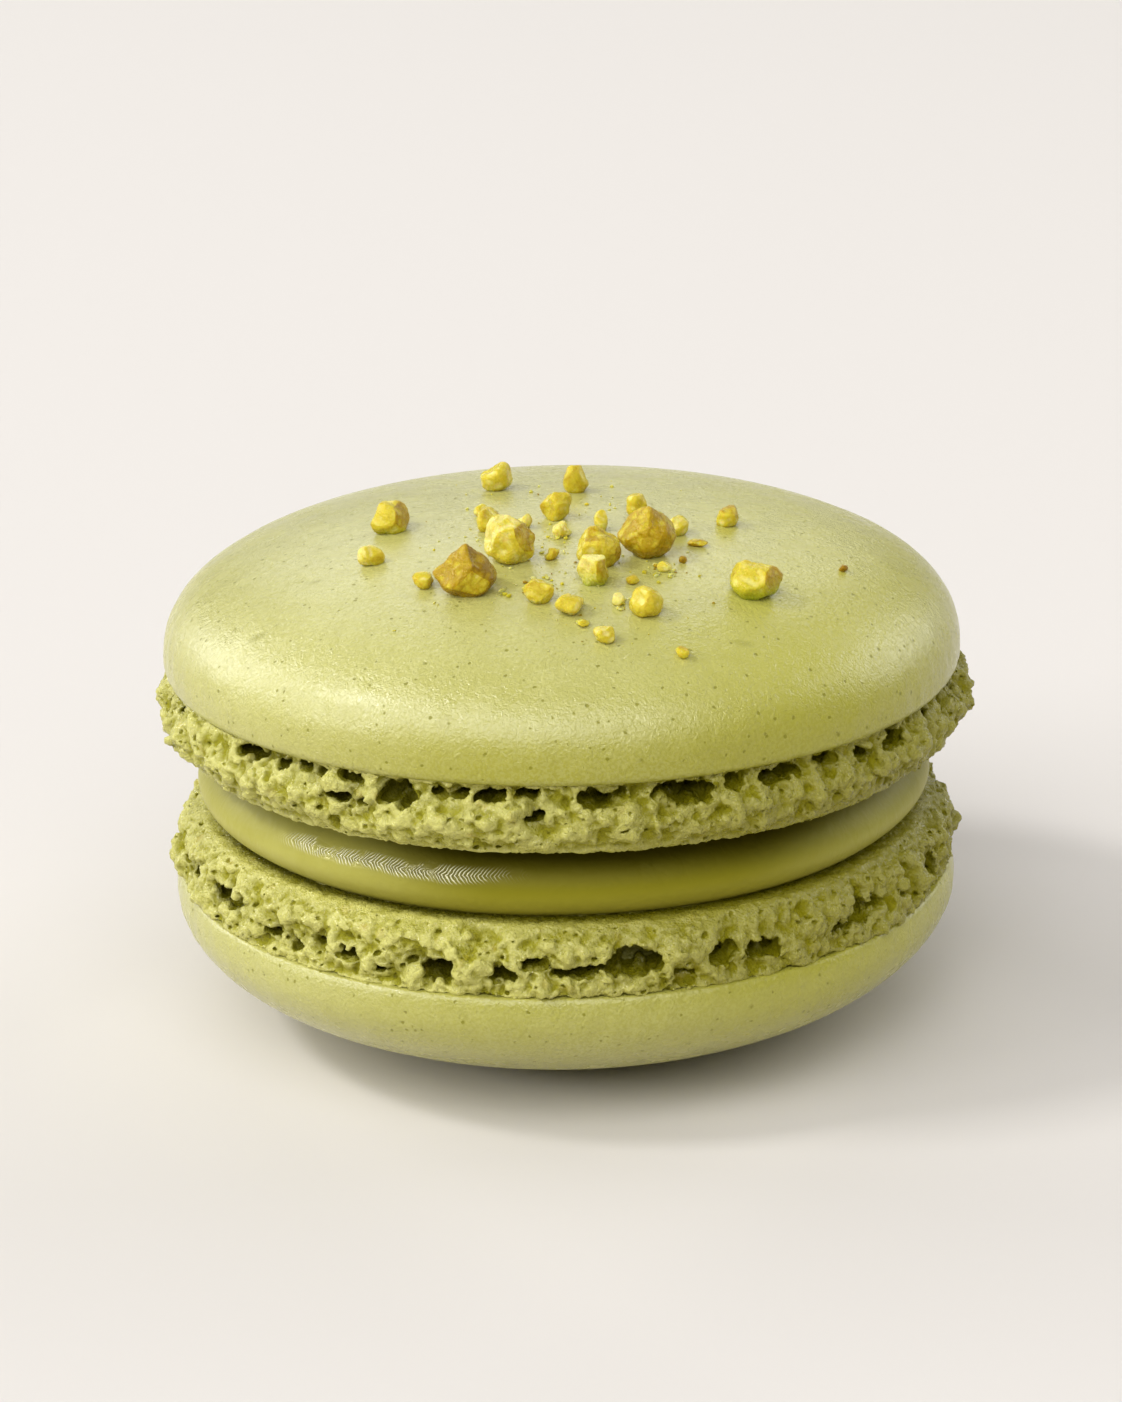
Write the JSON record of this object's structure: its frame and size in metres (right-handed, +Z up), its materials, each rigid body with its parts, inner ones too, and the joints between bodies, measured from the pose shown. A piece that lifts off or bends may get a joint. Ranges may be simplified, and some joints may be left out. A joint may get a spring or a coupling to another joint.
{
  "type": "french macaron",
  "caption": "Round sandwich biscuit: two domed almond shells with rough ruffled feet around a soft filling, chopped nut nibs on top.",
  "frame": {"origin": "middle of the flat resting spot under the lower shell, on the table", "axes": "+Z up through both shells; -Y is the side seen in the picture, +X to its right"},
  "size_m": [0.0453, 0.0452, 0.0302],
  "materials": {
    "shell": "matte to satin baked almond shell, light pistachio green",
    "filling": "glossy smooth ganache, olive green"
  },
  "bodies": {
    "root": {"bottom_shell": "shell", "filling": "filling", "top_shell": "shell"}
  },
  "joints": []
}
